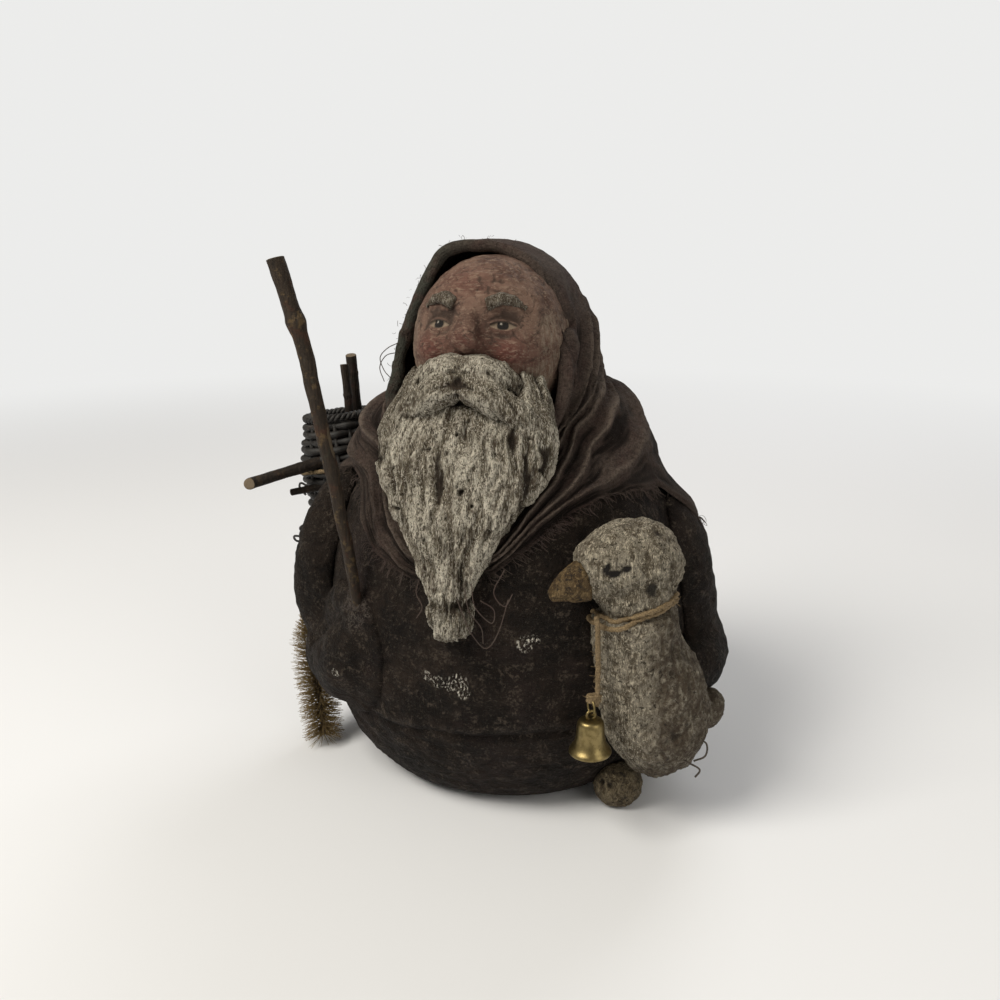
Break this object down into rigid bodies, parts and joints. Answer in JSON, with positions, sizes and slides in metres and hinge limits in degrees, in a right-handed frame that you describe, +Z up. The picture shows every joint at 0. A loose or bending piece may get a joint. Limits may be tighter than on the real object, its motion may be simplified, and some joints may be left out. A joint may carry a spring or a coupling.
{
  "type": "santa figure",
  "caption": "Stuffed folk-art winter gift bringer with hood, shawl, beard, staff, twig basket and a goose whose small bell swings on twine.",
  "frame": {"origin": "centre of the flat bottom", "axes": "+Z up, -Y the doll's front, +X the doll's left side"},
  "size_m": [0.1661, 0.1252, 0.17],
  "materials": {
    "card": "raw greyboard",
    "muslin": "painted muslin, matte to satin",
    "stuffing": "loose cotton and fibre filling",
    "ballast": "calico bag of sand",
    "dowel": "sanded",
    "face": "painted papier-mache, worn",
    "hair": "combed paper clay, washed with brown",
    "cloth": "dyed cheesecloth, frayed",
    "bark": "thin brown bark",
    "vine": "dried vine, dark stain",
    "tie": "two-ply jute",
    "tree_wire": "twisted wire, aged",
    "bristle": "sisal fibre",
    "feather": "paper clay, dry brushed",
    "bill": "painted paper clay",
    "brass": "polished, lightly aged"
  },
  "bodies": {
    "figure": {"base_disc": "card", "body_skin": "muslin", "body_stuffing": "stuffing", "ballast_bag": "ballast", "neck_dowel": "dowel", "head": "face", "moustache": "hair", "beard": "hair", "eyebrow_right": "hair", "eyebrow_left": "hair", "hood": "cloth", "shawl": "cloth", "staff": "bark", "right_upper_arm": "muslin", "left_upper_arm": "muslin", "right_forearm": "muslin", "left_forearm": "muslin", "basket_wall": "vine", "basket_rim": "vine", "basket_base": "vine", "basket_tie": "tie", "twig_forked": "bark", "twig_tall": "bark", "twig_side": "bark", "twig_stub": "bark", "tree_core": "tree_wire", "tree_bristles": "bristle", "goose_body": "feather", "goose_head": "feather", "goose_bill": "bill", "goose_tail": "feather", "goose_foot": "feather", "twine_collar": "tie"},
    "twine": {"bell_twine": "tie", "bell_knot": "tie"},
    "ring": {"jump_ring": "brass"},
    "bell": {"bell_shell": "brass"},
    "clapper": {"bell_clapper": "brass"}
  },
  "joints": [
    {"name": "twine_swing", "type": "hinge", "parent": "figure", "child": "twine", "pos_m": [0.04039, -0.05563, 0.0682], "axis": [-0.8143, -0.5804, 0], "range_deg": [-1.5, 50]},
    {"name": "ring_sway", "type": "hinge", "parent": "twine", "child": "ring", "pos_m": [0.0392, -0.055, 0.04535], "axis": [0.5804, -0.8143, 0], "range_deg": [-20, 8]},
    {"name": "bell_swing", "type": "hinge", "parent": "ring", "child": "bell", "pos_m": [0.0392, -0.055, 0.04175], "axis": [-0.8143, -0.5804, 0], "range_deg": [-5, 25]},
    {"name": "clapper_swing", "type": "hinge", "parent": "bell", "child": "clapper", "pos_m": [0.0392, -0.055, 0.0377], "axis": [-0.8143, -0.5804, 0], "range_deg": [-15, 15]}
  ]
}
